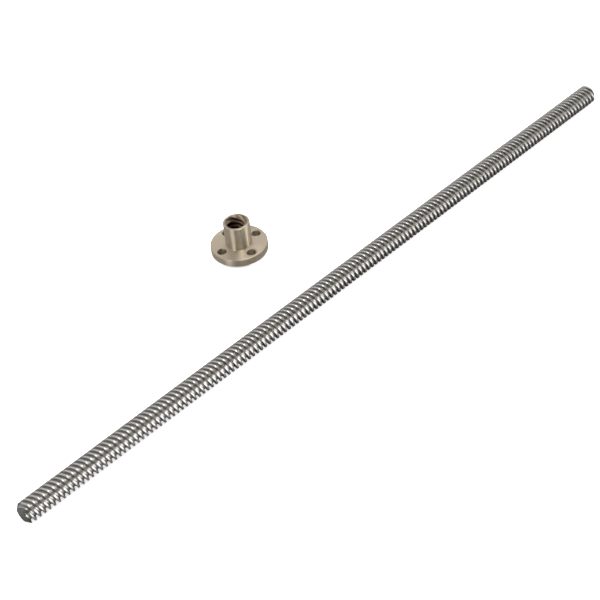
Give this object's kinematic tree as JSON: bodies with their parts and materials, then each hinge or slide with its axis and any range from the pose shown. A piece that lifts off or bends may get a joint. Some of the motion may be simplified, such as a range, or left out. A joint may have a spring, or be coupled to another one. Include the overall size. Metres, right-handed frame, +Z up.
{
  "type": "lead screw with flanged nut",
  "caption": "Straight steel lead screw with a multi-start trapezoidal thread from end to end, and its round flanged brass nut standing beside it.",
  "frame": {"origin": "on the ground plane, under the middle of the screw and nut taken together", "axes": "+X along the screw, +Y from the screw towards the nut, +Z up along the nut's bore"},
  "size_m": [0.3, 0.059, 0.0145],
  "materials": {
    "screw_steel": "rolled thread, satin with bright crests",
    "nut_brass": "turned, pale bronze tone, satin"
  },
  "bodies": {
    "lead_screw": {"lead_screw": "screw_steel"},
    "nut": {"flanged_nut": "nut_brass"}
  },
  "joints": [
    {"name": "nut_travel", "type": "slide", "parent": "lead_screw", "child": "nut", "axis": [1, 0, 0], "range_m": [-0.1315, 0.1535]}
  ]
}
